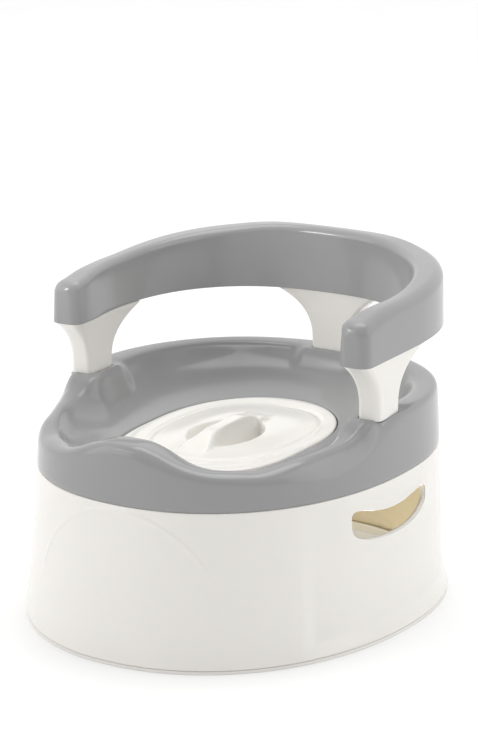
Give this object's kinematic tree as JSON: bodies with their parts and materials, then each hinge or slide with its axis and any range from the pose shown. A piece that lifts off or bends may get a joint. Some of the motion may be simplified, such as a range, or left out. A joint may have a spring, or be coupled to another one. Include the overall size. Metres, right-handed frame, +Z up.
{
  "type": "potty training chair",
  "caption": "Low oval potty chair with a contoured seat, lift-out lidded bowl, horseshoe arm and back rest on flared posts, and hand slots in the base.",
  "frame": {"origin": "centre of the footprint's bounding box, on the floor", "axes": "+Z up; the chair faces -Y, its back rest is towards +Y, and its right-hand hand slot, seen from the front, is at +X"},
  "size_m": [0.29, 0.3416, 0.2455],
  "materials": {
    "white_plastic": "glossy moulded, warm white",
    "grey_plastic": "glossy moulded, mid grey",
    "antislip_rubber": "soft matt",
    "zinc_steel": "bright zinc"
  },
  "bodies": {
    "chair": {"base_shell": "white_plastic", "antislip_ring": "antislip_rubber", "seat_shell": "grey_plastic", "armrest_cover": "grey_plastic", "armrest_underplate": "grey_plastic", "front_post_left": "white_plastic", "front_post_right": "white_plastic", "back_post": "white_plastic", "seam_screw_1": "zinc_steel", "seam_screw_2": "zinc_steel", "seam_screw_3": "zinc_steel", "seam_screw_4": "zinc_steel", "foot_screw_left": "zinc_steel", "foot_screw_right": "zinc_steel", "foot_screw_back": "zinc_steel", "post_screw_left_1": "zinc_steel", "post_screw_left_2": "zinc_steel", "post_screw_right_1": "zinc_steel", "post_screw_right_2": "zinc_steel", "post_screw_back_1": "zinc_steel", "post_screw_back_2": "zinc_steel"},
    "bowl": {"bowl": "white_plastic"},
    "lid": {"lid": "white_plastic"}
  },
  "joints": [
    {"name": "bowl_lift", "type": "slide", "parent": "chair", "child": "bowl", "axis": [0, 0, 1], "range_m": [0, 0.14]},
    {"name": "lid_lift", "type": "slide", "parent": "bowl", "child": "lid", "axis": [0, 0, 1], "range_m": [0, 0.08]}
  ]
}
